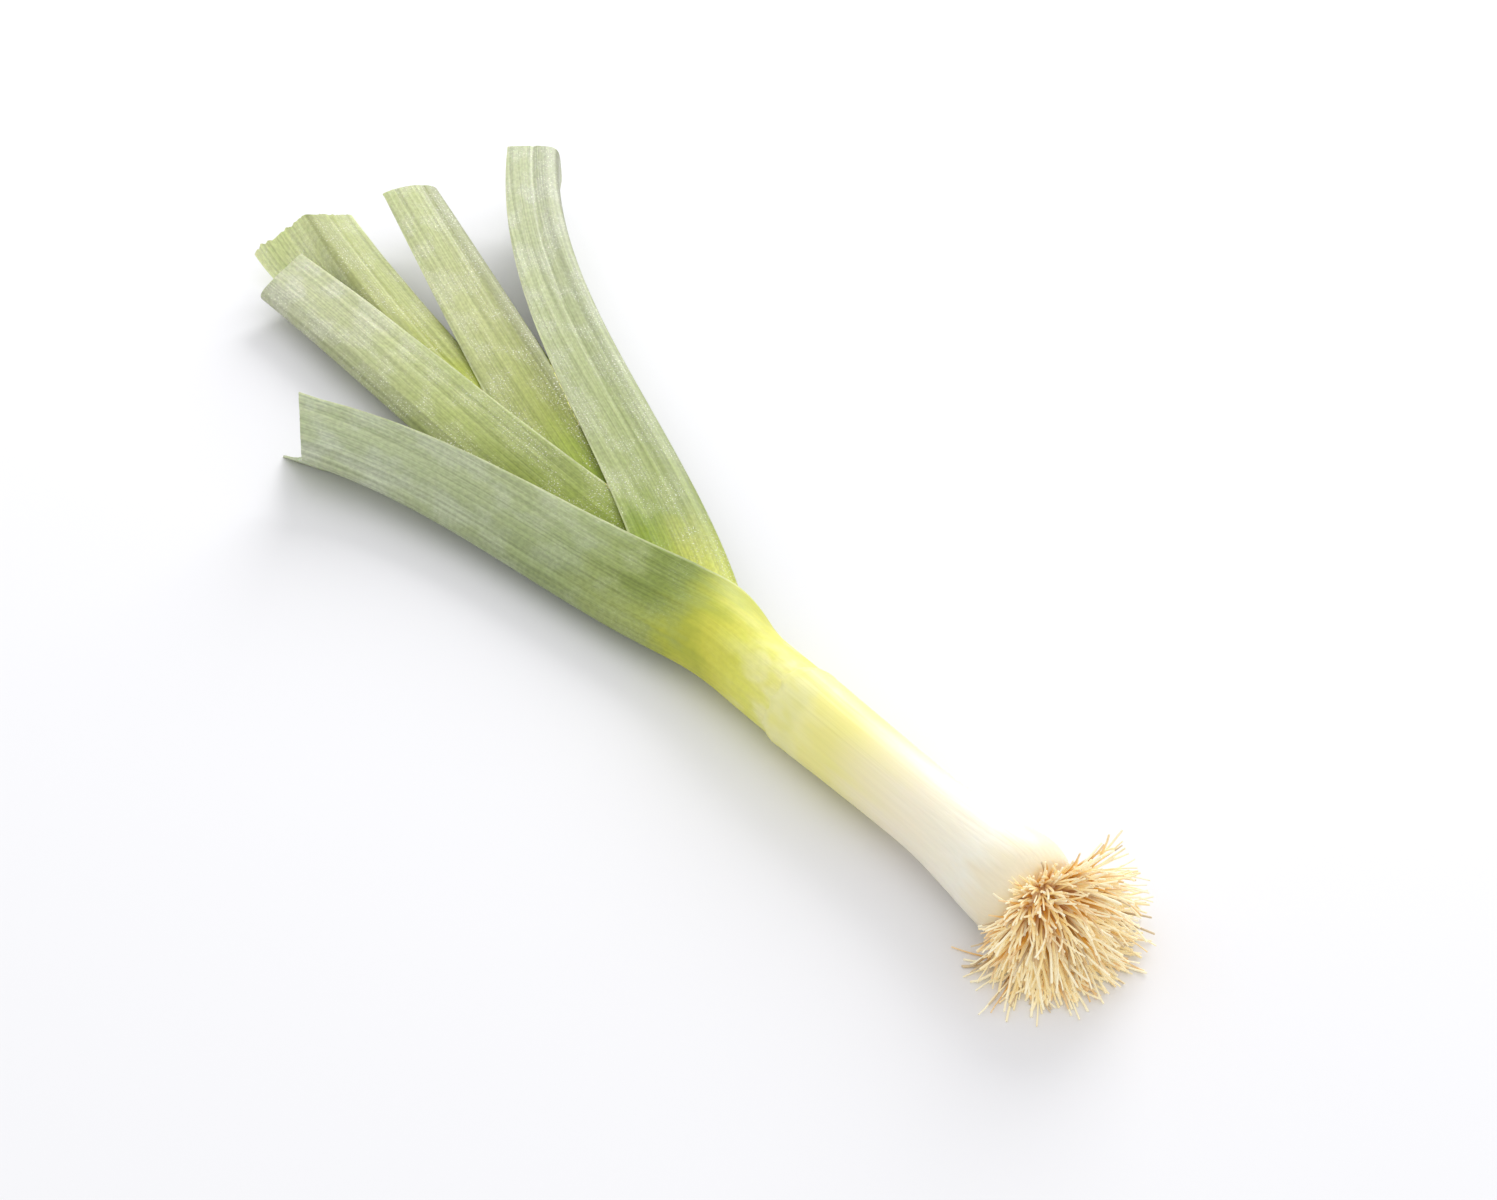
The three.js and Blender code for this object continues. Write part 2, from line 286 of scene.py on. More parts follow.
def add_relief(made):
    """Gives the stalk gentle swellings, fine lines, wrinkles near its neck and a torn collar."""
    for vertex in made.verts:
        s, radius = -vertex.co.x, math.hypot(vertex.co.y, vertex.co.z)
        if radius < base_radius / 2:
            continue
        turn = math.atan2(vertex.co.z, vertex.co.y)
        around = Vector((math.cos(turn), math.sin(turn), 0))
        swell = noise.noise(around * 1.2 + Vector((0, 0, s * 30)))
        fine = noise.noise(around * 14 + Vector((0, 0, s * 12)))
        wrinkle = noise.noise(around * 2.5 + Vector((0, 0, s * 130)))
        rise = swell_height * swell + line_height * fine
        rise += wrinkle_height * wrinkle * over(s, 70 * mm, 110 * mm)
        rise *= over(radius, cup_radius, cup_radius + 0.5 * mm)
        vertex.co.y *= 1 + rise / radius
        vertex.co.z *= 1 + rise / radius
        tear = noise.noise(around * 1.6) * tear_depth + noise.noise(around * 6) * nick_depth
        vertex.co.x -= tear * over(s, collar_at - 8 * mm, collar_at - 1 * mm)


def shaft_mesh():
    """The stalk turned from its outline, with the cup inside its collar and a flat spot below."""
    outside = rounded([
        (0, base_radius), (2.5 * mm, 16.6 * mm), (bulb_at, bulb_radius), (20 * mm, 18.8 * mm),
        (35 * mm, 17 * mm), (waist_at, waist_radius), (95 * mm, 15.6 * mm),
        (collar_at - 8 * mm, 16.3 * mm), (collar_at - 3 * mm, 16.5 * mm),
        (collar_at, cup_radius + 0.3 * mm),
    ])
    cup_floor = collar_at - cup_depth
    inside = [(collar_at - 0.1 * mm, cup_radius), (cup_floor, cup_radius), (cup_floor, 0)]
    made = turned([(0, 0)] + [tuple(point) for point in outside] + inside, shaft_turns)
    add_relief(made)
    made.transform(lying)
    below = bmesh.ops.bisect_plane(
        made, geom=made.verts[:] + made.edges[:] + made.faces[:], dist=weld_distance,
        plane_co=(0, 0, 0), plane_no=(0, 0, 1), clear_inner=True,
    )
    rim = [part for part in below["geom_cut"] if isinstance(part, bmesh.types.BMEdge)]
    bmesh.ops.edgenet_fill(made, edges=rim)
    bmesh.ops.recalc_face_normals(made, faces=made.faces)
    return made


piece_from(shaft_mesh(), "stalk", shaft_finish(), "shaft")

# Roots
# A low, corky plate closes the bulb, and a dense mop of fine roots grows from all of
# it. They are limp, so they sag, and the lowest lie on the surface. The upper ones are
# shorter, and on one side they are stubs.
plate_radius = 12.5 * mm
plate_turns = 48
root_inset = 1.5 * mm
root_count = 850
root_radii = (0.35 * mm, 0.65 * mm)
root_lengths = (20 * mm, 34 * mm)
root_sags = (0.15, 0.6)
first_sag = 0.45
upper_shortening = 0.3
upper_uprightness = 0.45
stub_turn = 2.3
stub_shortening = 0.55
stub_lean = 0.6
root_taper = 0.7
rim_lean = 1.35
clump_lean = 0.4
root_steps = 9
root_sides = 5
root_clearance = 0.1 * mm
root_seed = 20
rim_height = 1 * mm
dome_rise = 2 * mm
turn_spread = 0.25
lean_spread = 0.2
curl_spread = 0.08
kink_spread = 0.09

pale_straw = (255, 249, 219)
straw = (252, 228, 158)
golden_root = (222, 165, 66)
brown_root = (150, 108, 44)
golden_blotch = (237, 190, 92)
root_base_painted_shade = (196, 128, 36)
root_tip = (255, 246, 218)
plate_fibre = (0.3, 0.4, 0)
fibre_spots = (420, 420, 420)


def root_finish():
    """Straw and golden fibres, each its own shade, paler towards the tips, with a painted glow. Towards
    the plate they turn a deeper gold, partly their own colour and partly painted shade between the
    crowded roots.
    """
    # The emission is a painted glow: the fibres shine a little by themselves, standing in for light
    # that passes through them.
    finish = Finish("root fibre", {"Emission Strength": 0.11, "Specular IOR Level": 0.3})
    fibre = finish.attribute("fibre")
    own = finish.part(fibre, "X")
    outward = finish.part(fibre, "Y")
    blotches = finish.grain(finish.place(), fibre_spots, 3.0)
    root = finish.mix(finish.over(own, 0.1, 0.8), colour(pale_straw), colour(straw))
    root = finish.mix(finish.over(own, 0.68, 0.8), root, colour(golden_root))
    root = finish.mix(finish.over(own, 0.91, 0.95), root, colour(brown_root))
    root = finish.mix(finish.over(blotches, 0.5, 0.8) * 0.5, root, colour(golden_blotch))
    # Partly painted shade: the fibres darken to a deep gold near the plate, for the shade between
    # crowded roots, and partly their own deeper colour there.
    root = finish.mix(finish.over(outward, 0.68, 0.12) * 0.9, root, colour(root_base_painted_shade))
    root = finish.mix(finish.over(outward, 0.5, 1.0) * 0.5, root, colour(root_tip))
    finish.feed(
        Base_Color=root,
        Emission_Color=root,
        Roughness=0.75 - own * 0.1,
        Normal=finish.bump(blotches, 0.15 * mm),
    )
    return finish


def straight_root():
    """One root of radius 1 that runs from x = 0 to 1, in rings that a bend can follow."""
    made = bmesh.new()
    bmesh.ops.create_cone(made, cap_ends=True, segments=root_sides, radius1=1, radius2=1, depth=1)
    long_edges = [edge for edge in made.edges if abs(edge.verts[0].co.z - edge.verts[1].co.z) > 0.5]
    bmesh.ops.subdivide_edges(made, edges=long_edges, cuts=root_steps - 1)
    bmesh.ops.rotate(made, verts=made.verts, matrix=Matrix.Rotation(math.pi / 2, 3, "Y"))
    bmesh.ops.translate(made, verts=made.verts, vec=(0.5, 0, 0))
    mesh = bpy.data.meshes.new("straight root")
    made.to_mesh(mesh)
    made.free()
    return mesh


def root_path(chance, out, turn, lean, length):
    """The middle line of one root, with the directions across it at each point."""
    up = Vector((0, 0, 1))
    turned_to = lying.to_3x3()
    radial = turned_to @ Vector((0, math.cos(turn), math.sin(turn)))
    outward = turned_to @ Vector((1, 0, 0))
    point = lying @ Vector((rim_height + dome_rise * (1 - out), 0, 0))
    point += radial * out * (plate_radius - root_inset)
    sag = chance.uniform(*root_sags)
    direction = outward * math.cos(lean) + radial * math.sin(lean) - up * sag * first_sag
    direction.normalize()
    curl = Vector([chance.uniform(-1, 1) for _ in range(3)]) * curl_spread
    path = []
    for _ in range(root_steps + 1):
        if point.z < root_radii[1]:
            point.z = root_radii[1]
            direction.z = max(direction.z, 0)
            direction.normalize()
        path.append((point.copy(), direction.copy()))
        point += direction * length / root_steps
        kink = Vector([chance.uniform(-1, 1) for _ in range(3)]) * kink_spread
        direction = (direction + curl + kink - up * sag / root_steps).normalized()
    return path


def plate_mesh():
    """The corky plate, turned about the leek's axis."""
    made = turned([
        (1 * mm, 0), (1 * mm, base_radius - 0.4 * mm), (-1 * mm, base_radius - 0.6 * mm),
        (-3 * mm, plate_radius - 1 * mm), (-5 * mm, plate_radius - 4 * mm), (-6 * mm, 0),
    ], plate_turns)
    made.transform(lying)
    mesh = bpy.data.meshes.new("plate")
    made.to_mesh(mesh)
    made.free()
    return mesh


def added(tuft, mesh):
    """Adds a mesh to the tuft and gives back its vertices there."""
    before = len(tuft.verts)
    tuft.from_mesh(mesh)
    tuft.verts.ensure_lookup_table()
    return tuft.verts[before:]


def bend_root(vertices, fibre, path, thick, own):
    """Lays a straight root round its path, tapers it and keeps it above the surface."""
    for vertex in vertices:
        step = round(vertex.co.x * root_steps)
        point, direction = path[step]
        side = direction.cross(Vector((0, 0, 1))).normalized()
        lift = side.cross(direction)
        radius = thick * (1 - (1 - root_taper) * step / root_steps)
        lowest = root_clearance + radius * (1 + vertex.co.z)
        vertex.co = point + (side * vertex.co.y + lift * vertex.co.z) * radius
        vertex.co.z = max(vertex.co.z, lowest)
        vertex[fibre] = (own, step / root_steps, 0)


def roots_mesh():
    """A bent copy of the straight root for every root, and the plate that they grow from."""
    chance = random.Random(root_seed)
    tuft = bmesh.new()
    fibre = tuft.verts.layers.float_vector.new("fibre")
    straight = straight_root()
    golden_angle = math.pi * (3 - math.sqrt(5))
    for i in range(root_count):
        out = math.sqrt((i + 0.5) / root_count)
        turn = i * golden_angle + chance.uniform(-turn_spread, turn_spread)
        clump = noise.noise(Vector((out * math.cos(turn), out * math.sin(turn), 0)) * 4)
        upper = max(math.sin(turn), 0) ** 2
        stubby = max(math.cos(turn - stub_turn), 0)
        lean = out * rim_lean * (1 - upper_uprightness * upper + stub_lean * stubby)
        lean += clump * clump_lean + chance.uniform(-lean_spread, lean_spread)
        length = chance.uniform(*root_lengths)
        length *= (1 - out * upper_shortening * math.sin(turn)) * (1 - out * stub_shortening * stubby)
        thick = chance.uniform(*root_radii)
        own = chance.random()
        path = root_path(chance, out, turn, lean, length)
        bend_root(added(tuft, straight), fibre, path, thick, own)
    for vertex in added(tuft, plate_mesh()):
        vertex[fibre] = plate_fibre
    return tuft


piece_from(roots_mesh(), "root_tuft", root_finish(), "roots")

# Blades
# Five long leaves stand one in another in the neck and fan out above it. Each is a
# thick, waxy strap with fine parallel veins, folded along its midrib and cut across.
gap = 0.3 * mm
cup_wall = 0.9 * mm
sheath_wall = 1.7 * mm
layer_step = sheath_wall + gap + 0.1 * mm
midrib_thickness = 2.2 * mm
margin_thickness = 0.9 * mm
midrib_width = 7 * mm
fold_radius = 6 * mm
fold_radius_step = 1.15 * mm
tip_fold_radius = 2.2 * mm
blade_rows = 200
blade_columns = 96
section_steps = 48
path_step = 2 * mm
rib_spacing = 1.7 * mm
rib_height = 0.16 * mm
crease_width = 0.9 * mm
margin_wave = 0.5 * mm
edge_share = 0.965
edge_thinning = 0.6
flap_at = 384 * mm
flap_length = 7 * mm

margin_pale = (222, 228, 186)
painted_back_pale = (226, 231, 186)
edge_pale = (228, 234, 186)
painted_bead_glint = (242, 246, 222)
painted_neck_highlight = (252, 249, 208)
deep_green_margin_tint = (0.56, 0.68, 0.15)
fresh_rib_tint = (0.84, 0.92, 0.32)
painted_shade_tint = (0.62, 0.68, 0.5)
dull_tint = (0.93, 0.95, 0.84)
bloom_tint = (1.12, 1.1, 1.25)
vein_spots = (1100, 9, 0)
rib_spots = (380, 7, 0)
cloud_spots = (90, 45, 0)
mottle_spots = (750, 420, 0)
bead_spots = (1500, 1000, 0)
rib_reach = 20 * mm
cloud_reach = 50 * mm

plain_blade = dict(
    back_width=1, painted_back_light=1, roll=(0, 0, 0), arch=(0, 0, 0),
    flap=0, fresh=0, painted_shade_patch=0, painted_back_paleness=0,
)
blades = {
    "leaf_outer_left": dict(
        side=-1, mouth=fork_at, length=202 * mm, width=41 * mm, tip_width=25 * mm,
        turn=(15, 10, 27), climb=(-1, 4.05, 9), front=(8, 14, 42), back=(8, 14, 54),
        cut_front=0.4, cut_back=0.8, ragged=0.4 * mm, crease=(0.72, 0.15 * mm),
        slot="outer_left_blade", speckle=0.1, painted_rib_shade=0.97, painted_shade_patch=1,
        colours={
            168 * mm: (214, 210, 84),
            184 * mm: (186, 189, 70),
            204 * mm: (162, 172, 96),
            250 * mm: (152, 164, 117),
            380 * mm: (191, 197, 171),
        },
    ),
    "leaf_outer_right": dict(
        side=1, mouth=fork_at + 4 * mm, length=328 * mm, width=38 * mm, tip_width=21.5 * mm,
        turn=(27, 18.3, 37), climb=(0, -0.55, 0), front=(8, 14, 50), back=(0, 17, 50),
        back_width=0.9, arch=(0, 0, 10), roll=(0, -14, -40),
        cut_front=0.1, cut_back=0.2, ragged=0.5 * mm, crease=(0.45, 0.5 * mm),
        slot="outer_right_blade", speckle=0.8, painted_rib_shade=0.86, painted_back_light=0.72, fresh=1,
        colours={
            175 * mm: (208, 211, 92),
            200 * mm: (200, 203, 84),
            245 * mm: (158, 169, 104),
            290 * mm: (164, 174, 122),
            480 * mm: (193, 197, 170),
        },
    ),
    "leaf_middle_left": dict(
        side=-1, mouth=fork_at + 14 * mm, length=298 * mm, width=40 * mm, tip_width=26 * mm,
        turn=(5, -1, 1), climb=(0, 0.5, 1), front=(0, 4, 20), back=(0, 4, 20),
        arch=(0, 0, 5), cut_front=0, cut_back=0, ragged=0.6 * mm, crease=(0.8, 0.35 * mm),
        slot="middle_left_blade", speckle=0.7, painted_rib_shade=0.72, fresh=0.4,
        colours={
            190 * mm: (200, 208, 90),
            255 * mm: (134, 150, 36),
            310 * mm: (141, 153, 74),
            355 * mm: (176, 185, 120),
            480 * mm: (215, 218, 188),
        },
    ),
    "leaf_middle_right": dict(
        side=1, mouth=fork_at + 26 * mm, length=302 * mm, width=40 * mm, tip_width=26 * mm,
        turn=(11, 14, 14), climb=(0, 0, 0), front=(0, 6, 35), back=(0, 5, 20),
        back_width=0.85, arch=(0, 10, 45),
        cut_front=0.1, cut_back=0.1, ragged=0.6 * mm, crease=(0.3, 0.2 * mm),
        slot="middle_right_blade", speckle=0.9, painted_rib_shade=0.58, painted_back_light=0.75, fresh=0.3,
        colours={
            200 * mm: (200, 208, 90),
            280 * mm: (150, 171, 48),
            330 * mm: (158, 166, 88),
            400 * mm: (185, 189, 138),
            490 * mm: (191, 196, 153),
        },
    ),
    "leaf_inner": dict(
        side=-1, mouth=fork_at + 36 * mm, length=304 * mm, width=22 * mm, tip_width=23 * mm,
        turn=(-1, -5.5, -12), climb=(0, 1.7, 2.6), front=(0, 8, 52), back=(0, 4, 88),
        back_width=1.22, roll=(0, -15, -80), flap=3 * mm,
        cut_front=0, cut_back=-0.1, ragged=2.4 * mm, crease=(0.5, 0.3 * mm),
        slot="inner_blade", speckle=0.6, painted_rib_shade=0.85, painted_back_light=1.35, fresh=0.3, painted_back_paleness=0.45,
        colours={
            210 * mm: (200, 208, 90),
            370 * mm: (170, 181, 48),
            395 * mm: (158, 165, 78),
            440 * mm: (173, 178, 116),
            500 * mm: (173, 178, 124),
        },
    ),
}


def mix(first, second, share):
    return first + (second - first) * share


def through(values, t):
    """A smooth run through three values, at t = 0, 0.5 and 1."""
    first, middle, last = values
    return first * (1 - t) * (1 - 2 * t) + 4 * middle * t * (1 - t) + last * t * (2 * t - 1)


def midrib_path(blade, sheath_radius):
    """Distances along the midrib, with its places and the two directions of its frame."""
    start = collar_at - cup_depth + gap
    tip = blade["mouth"] + blade["length"]
    s = np.arange(start, tip + blade["tip_width"] + path_step, path_step)
    free = over(s - fork_at, -25 * mm, 20 * mm)
    far = np.clip((s - fork_at) / (tip - fork_at), 0, 1)
    turn, climb, roll = (
        np.radians(free * through(blade[name], far)) for name in ("turn", "climb", "roll")
    )
    side = blade["side"]
    along = np.stack([
        -np.cos(turn) * np.cos(climb), side * np.sin(turn) * np.cos(climb), np.sin(climb),
    ], axis=1)
    outward = np.stack([np.sin(turn), side * np.cos(turn), 0 * turn], axis=1)
    across = np.cross(outward, along) * side
    point = np.array([-start, side * sheath_radius, 0]) + np.vstack([
        np.zeros(3), np.cumsum(along[:-1], axis=0) * path_step,
    ])
    turned_out = outward * np.cos(roll)[:, None] - across * np.sin(roll)[:, None]
    turned_across = across * np.cos(roll)[:, None] + outward * np.sin(roll)[:, None]
    return s, point, turned_out, turned_across


def ragged_cut(columns):
    """How far a knife's cut across the tip wanders, as a share."""
    wander = [noise.noise(Vector((j * 0.06, 7, 3))) * 1.3 for j in range(columns + 1)]
    nicks = [round(noise.noise(Vector((j * 0.3, 2, 5))) * 2) * 0.2 for j in range(columns + 1)]
    return np.array(wander) + np.array(nicks)


def blade_grid(blade, rows, columns, grow, detail):
    """Distances along the leek for a grid of points, and how far across the blade each column is."""
    start = collar_at - cup_depth + gap - grow
    tip = blade["mouth"] + blade["length"]
    row = np.linspace(0, 1, rows + 1)[:, None]
    across = np.linspace(-1, 1, columns + 1)[None, :]
    slant = np.where(across < 0, blade["cut_back"], blade["cut_front"])
    cut = np.abs(across) * blade["tip_width"] * slant
    if detail:
        cut = cut + blade["ragged"] * ragged_cut(columns)[None, :]
    return mix(start, tip, row) + cut * row**4, across


def blade_width(blade, sheath_radius, s, far, front, detail):
    """The way from midrib to margin: half round the neck in the sheath, then the blade's own width."""
    closed_width = math.pi * sheath_radius - gap / 2
    open_width = mix(blade["width"], blade["tip_width"], far) * np.where(front, 1, blade["back_width"])
    if detail:
        open_width = open_width + front * blade["flap"] * np.exp(-(((s - flap_at) / flap_length) ** 2))
    return mix(closed_width, open_width, over(s - blade["mouth"], -10 * mm, 20 * mm))


def section_angle(blade, layer, sheath_radius, s, far, front, width):
    """The rule for how far a section has turned at a distance from the midrib."""
    opened = over(s - blade["mouth"], -12 * mm, 48 * mm)
    stand = np.where(front, through(blade["front"], far), through(blade["back"], far))
    stand = np.radians(stand * opened)
    arch = np.radians(through(blade["arch"], far) * opened)
    curl = mix(fold_radius - layer * fold_radius_step, tip_fold_radius, over(far, 0.2, 0.8))
    unwrapped = over(s - fork_at, -25 * mm, 30 * mm)

    def angle_at(distance):
        folded = (math.pi / 2 - stand) * (1 - np.exp(-distance / curl)) + arch * distance / width
        return mix(distance / sheath_radius, folded, unwrapped)

    return angle_at


def fine_relief(blade, layer, s, far, front, across, width, near_midrib):
    """How far the ribs, the crease and the wavy margins lift each point of a free blade."""
    distances = s[:, across.shape[1] // 2]
    ribs = np.array([
        [noise.noise(Vector((x / rib_spacing, distance * 6, layer * 9))) for x in row_of_x]
        for row_of_x, distance in zip(across * width, distances)
    ]) * rib_height * (1 - near_midrib)
    crease_at, crease_depth = blade["crease"]
    crease = np.exp(-(((across - crease_at) * width / crease_width) ** 2))
    ribs = ribs - crease * crease_depth * over(far, 0.2, 0.6)
    waves = np.array([
        [noise.noise(Vector((distance * 28, sign, layer))) for sign in (-4, 4)]
        for distance in distances
    ])
    wave = np.where(front, waves[:, 1:], waves[:, :1]) * margin_wave * np.abs(across) ** 3
    return ribs + wave


def blade_faces(blade, layer, rows, columns, grow, detail):
    """The outer and inner face of a blade as grids of points, and each point's place on it."""
    sheath_radius = collar_radius - cup_wall - gap - sheath_wall / 2 - layer * layer_step
    s, across = blade_grid(blade, rows, columns, grow, detail)
    side = np.where(across < 0, -1, 1)
    front = side > 0
    far = np.clip((s - blade["mouth"]) / blade["length"], 0, 1)
    width = blade_width(blade, sheath_radius, s, far, front, detail) + grow
    reach = np.abs(across) * width
    angle_at = section_angle(blade, layer, sheath_radius, s, far, front, width)
    inward = 0
    upward = 0
    for k in range(section_steps):
        angle = angle_at(reach * (k + 0.5) / section_steps)
        inward = inward + np.sin(angle) * reach / section_steps
        upward = upward + np.cos(angle) * reach / section_steps

    along, points, outwards, acrosses = midrib_path(blade, sheath_radius)

    def at(values):
        return np.stack([np.interp(s, along, values[:, axis]) for axis in range(3)], axis=2)

    outward, upright = at(outwards), at(acrosses) * side[..., None]
    edge = angle_at(reach)
    normal = outward * np.cos(edge)[..., None] + upright * np.sin(edge)[..., None]
    centre = at(points) - outward * inward[..., None] + upright * upward[..., None]

    near_midrib = np.exp(-((reach / midrib_width) ** 2))
    thickness = mix(margin_thickness, midrib_thickness, near_midrib)
    half = mix(sheath_wall, thickness, over(s - fork_at, 0, 40 * mm)) / 2 + grow
    if detail:
        free = over(s - fork_at, 0, 50 * mm)
        relief = fine_relief(blade, layer, s, far, front, across, width, near_midrib)
        centre = centre + normal * (relief * free)[..., None]
        half = half * (1 - edge_thinning * over(np.abs(across), edge_share, 1.0) * free)
    outer = centre + normal * half[..., None]
    inner = centre - normal * half[..., None]
    place = np.stack([across * width, s + 0 * across, across + 0 * s], axis=2)
    return outer, inner, place


def sheet_mesh(outer, inner, place):
    """A closed sheet between two faces, from a flat grid that is thickened and then shaped."""
    rows, columns = outer.shape[0] - 1, outer.shape[1] - 1
    made = bmesh.new()
    bmesh.ops.create_grid(made, x_segments=columns, y_segments=rows, size=1)
    number = made.verts.layers.int.new("number")
    layout = made.verts.layers.float_vector.new("place")
    for vertex in made.verts:
        i = round((vertex.co.y + 1) / 2 * rows)
        j = round((vertex.co.x + 1) / 2 * columns)
        vertex[number] = i * (columns + 1) + j
        vertex[layout] = place[i, j]
    grown = bmesh.ops.extrude_face_region(made, geom=made.faces[:], use_keep_orig=True)
    raised = {part for part in grown["geom"] if isinstance(part, bmesh.types.BMVert)}
    for vertex in made.verts:
        i, j = divmod(vertex[number], columns + 1)
        vertex.co = lying @ Vector((outer if vertex in raised else inner)[i, j])
    bmesh.ops.recalc_face_normals(made, faces=made.faces)
    made.verts.layers.int.remove(number)
    return made


def blade_finish(name, blade):
    """Waxy green with a pale bloom, fine veins along the leaf and beads of water. Painted shade darkens
    the midrib, a patch near the fork and some back halves, painted light lightens a shaded back half,
    and the beads and neck carry painted highlights.
    """
    finish = Finish(name.replace("_", " ") + " skin", {
        "Subsurface Weight": 0.15, "Subsurface Scale": 0.003, "Subsurface Radius": (0.6, 1, 0.3),
        "Specular IOR Level": 0.35,
    })
    place = finish.attribute("place")
    along = finish.part(place, "Y")
    share = finish.part(place, "Z")
    veins = finish.grain(place, vein_spots, 2.0)
    ribs = finish.grain(place, rib_spots, 2.0)
    clouds = finish.grain(place, cloud_spots, 3.0)
    mottle = finish.grain(place, mottle_spots, 2.0)
    grit = finish.grain(place, bead_spots, 1.0)

    reach = along + ribs * rib_reach + clouds * cloud_reach - (rib_reach + cloud_reach) / 2
    skin = finish.along_leek(reach, {**sheath_colours, **blade["colours"]})
    free = finish.over(along, fork_at, fork_at + 30 * mm)
    # Painted shade: each blade is darkened towards its midrib, where its section turns away from the
    # light.
    midrib = finish.over(abs(share), 0.5, 0.0) * free * (1 - blade["painted_rib_shade"])
    # Painted light and shade on the back half: a factor below 1 darkens a half that faces away from the
    # light, one above 1 lightens a half that lies in shade, and mixing towards pale green lightens it
    # further.
    on_back = finish.over(share, 0.03, -0.03)
    back = on_back * free * (1 - blade["painted_back_light"])
    skin = finish.times(skin, (1 - midrib) * (1 - back))
    skin = finish.mix(on_back * blade["painted_back_paleness"], skin, colour(painted_back_pale))
    near_mouth = finish.over(reach, blade["mouth"] + 95 * mm, blade["mouth"] + 45 * mm)
    margin = finish.over(abs(share), 0.35, 1.0) * free * (1 - near_mouth)
    skin = finish.mix(margin * 0.2, skin, colour(margin_pale))

    fresh = near_mouth * free * blade["fresh"]
    # Near the mouth the margin turns a darker, deeper green.
    deep_green_margin = finish.over(share, 0.4, 0.8) * fresh
    skin = finish.tint(deep_green_margin, skin, deep_green_margin_tint)
    fresh_rib = finish.over(share, 0.3, -0.1) * fresh
    skin = finish.tint(fresh_rib, skin, fresh_rib_tint)
    # Painted shade: the upper side of the outer left leaf is darkened near the fork.
    near_fork = finish.over(reach, fork_at + 65 * mm, fork_at + 30 * mm)
    painted_shade_patch = finish.over(share, 0.2, 0.45) * near_fork * free * blade["painted_shade_patch"]
    skin = finish.tint(painted_shade_patch, skin, painted_shade_tint)
    bloom = finish.over(clouds, 0.42, 0.62) * free
    skin = finish.tint(bloom * 0.5, skin, bloom_tint, dull_tint)

    edge = finish.over(abs(share), edge_share, 0.99)
    skin = finish.mix(edge * 0.35, skin, colour(edge_pale))
    # The beads of water are real bumps with a lower roughness, and their white colour is a painted
    # highlight.
    beads = finish.over(grit, 0.6, 0.7) * finish.over(clouds, 0.42, 0.6) * free
    beads = beads * blade["speckle"] * (1 - deep_green_margin)
    skin = finish.mix(beads, skin, colour(painted_bead_glint))
    # Painted highlights: pale cream blotches on the neck, where the wrinkled skin catches the light.
    blotches = finish.grain(finish.place(), blotch_spots, 2.0)
    painted_highlights = finish.over(blotches, *blotch_edge) * finish.over(along, fork_at - 5 * mm, collar_at)
    skin = finish.mix(painted_highlights * 0.5, skin, colour(painted_neck_highlight))

    fine = finish.over(veins, 0.35, 0.65) * 0.22 + finish.over(mottle, 0.38, 0.62) * 0.14
    broad = finish.over(ribs, 0.35, 0.65) * 0.14
    skin = finish.times(skin, (fine + broad - 0.25) * (free * 0.75 + 0.25) + 1)
    finish.feed(
        Base_Color=skin,
        Roughness=veins * 0.15 + 0.42 - beads * 0.3,
        Normal=finish.bump(veins * 0.5 + ribs * 0.5 + mottle * 0.3 + beads, 0.14 * mm),
    )
    return finish


def largest_part(made):
    """Drops the loose scraps that a cut has left."""
    left = set(made.verts)
    parts = []
    while left:
        part = [left.pop()]
        for vertex in part:
            near = {edge.other_vert(vertex) for edge in vertex.link_edges} & left
            left -= near
            part.extend(near)
        parts.append(part)
    scraps = sorted(parts, key=len)[:-1]
    bmesh.ops.delete(made, geom=[vertex for part in scraps for vertex in part], context="VERTS")


def cut_clear(made, cutters):
    """Cuts a blade back where it would run into the blades outside it or the surface."""
    mesh = bpy.data.meshes.new("uncut blade")
    made.to_mesh(mesh)
    made.free()
    piece = bpy.data.objects.new("uncut blade", mesh)
    bpy.context.scene.collection.objects.link(piece)
    for cutter in cutters:
        cut = piece.modifiers.new("clear", "BOOLEAN")
        cut.operation = "DIFFERENCE"
        cut.solver = "MANIFOLD"
        cut.object = cutter
    shown = piece.evaluated_get(bpy.context.evaluated_depsgraph_get())
    cut_mesh = bmesh.new()
    cut_mesh.from_mesh(shown.to_mesh())
    bpy.data.objects.remove(piece)
    largest_part(cut_mesh)
    return cut_mesh


def cutter_from(made, name):
    """A hidden object to cut the next blades with."""
    mesh = bpy.data.meshes.new(name)
    made.to_mesh(mesh)
    made.free()
    cutter = bpy.data.objects.new(name, mesh)
    bpy.context.scene.collection.objects.link(cutter)
    return cutter


ground_size = Vector((1.2, 0.8, 0.1))
ground = bmesh.new()
bmesh.ops.create_cube(ground, size=1)
bmesh.ops.scale(ground, verts=ground.verts, vec=ground_size)
bmesh.ops.translate(ground, verts=ground.verts, vec=(0, 0, -ground_size.z / 2))
cutters = [cutter_from(ground, "ground")]
for layer, (name, own_values) in enumerate(blades.items()):
    blade = {**plain_blade, **own_values}
    fine = sheet_mesh(*blade_faces(blade, layer, blade_rows, blade_columns, 0, True))
    clear = cut_clear(fine, cutters)
    piece_from(clear, name.replace("leaf", "blade"), blade_finish(name, blade), name)
    coarse = sheet_mesh(*blade_faces(blade, layer, blade_rows // 3, blade_columns // 3, gap / 2, False))
    cutters.append(cutter_from(coarse, name + " grown"))
for cutter in cutters:
    bpy.data.objects.remove(cutter)

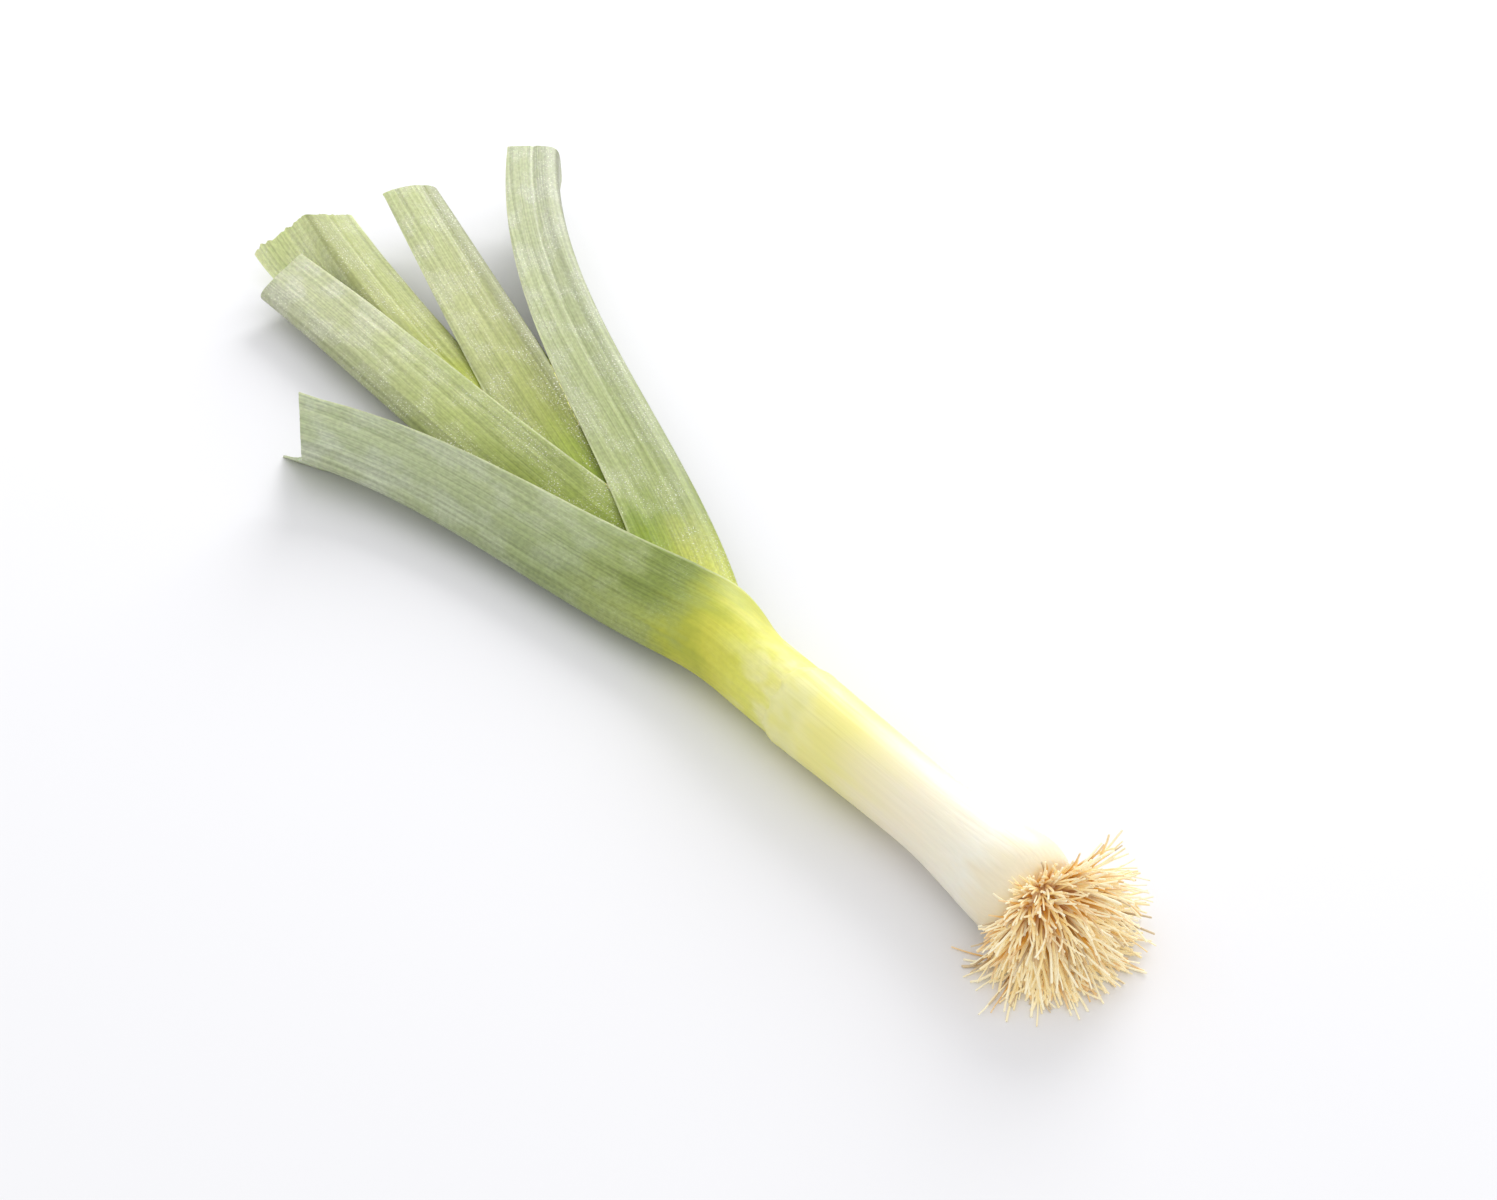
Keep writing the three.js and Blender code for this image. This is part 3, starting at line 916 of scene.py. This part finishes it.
# Surface, light and camera
# The leek lies on a plain white surface under a broad soft light from behind it on
# the right, and is seen from above its roots.
floor_reach = 6
paper_white = (236, 236, 239)
floor = bmesh.new()
bmesh.ops.create_grid(floor, x_segments=1, y_segments=1, size=floor_reach)
floor_mesh = bpy.data.meshes.new("surface")
floor.to_mesh(floor_mesh)
floor.free()
paper = Finish("white surface", {
    "Base Color": colour(paper_white), "Roughness": 0.9, "Specular IOR Level": 0.1,
})
floor_mesh.materials.append(paper.material)
surface = bpy.data.objects.new("surface", floor_mesh)
bpy.context.scene.collection.objects.link(surface)

camera_azimuth = math.radians(51.79)
camera_elevation = math.radians(40)
looks_at = Vector((-0.1972, 0.0354, 0))
camera_distance = 1.1928
focal_length = 73
film_width = 36
looking = Vector((
    -math.sin(camera_azimuth) * math.cos(camera_elevation),
    math.cos(camera_azimuth) * math.cos(camera_elevation),
    -math.sin(camera_elevation),
))
lens = bpy.data.cameras.new("camera")
lens.lens = focal_length
lens.sensor_width = film_width
camera = bpy.data.objects.new("camera", lens)
camera.location = looks_at - looking * camera_distance
camera.rotation_euler = looking.to_track_quat("-Z", "Y").to_euler()
bpy.context.scene.collection.objects.link(camera)
bpy.context.scene.camera = camera

window_place = (-1.2, 1.7, 1)
window_aim = (-0.2, 0, 0)
window_size = 1.3
window_power = 34
room_light_below = 0.38
room_light_above = 1.18


def soft_light(name, place, aim, size, power):
    """A square soft light."""
    lamp = bpy.data.lights.new(name, "AREA")
    lamp.shape = "SQUARE"
    lamp.size = size
    lamp.energy = power
    light = bpy.data.objects.new(name, lamp)
    light.location = place
    light.rotation_euler = (Vector(aim) - light.location).to_track_quat("-Z", "Y").to_euler()
    bpy.context.scene.collection.objects.link(light)


soft_light("window", window_place, window_aim, window_size, window_power)

world = bpy.data.worlds.new("room")
world.use_nodes = True
room = world.node_tree.nodes
links = world.node_tree.links
direction = room.new("ShaderNodeTexCoord")
height = room.new("ShaderNodeSeparateXYZ")
brightness = room.new("ShaderNodeMapRange")
brightness.inputs["To Min"].default_value = room_light_below
brightness.inputs["To Max"].default_value = room_light_above
links.new(direction.outputs["Generated"], height.inputs[0])
links.new(height.outputs["Z"], brightness.inputs["Value"])
links.new(brightness.outputs[0], room["Background"].inputs["Strength"])
room["Background"].inputs["Color"].default_value = (1, 1, 1, 1)
bpy.context.scene.world = world
bpy.context.scene.view_settings.view_transform = "Standard"
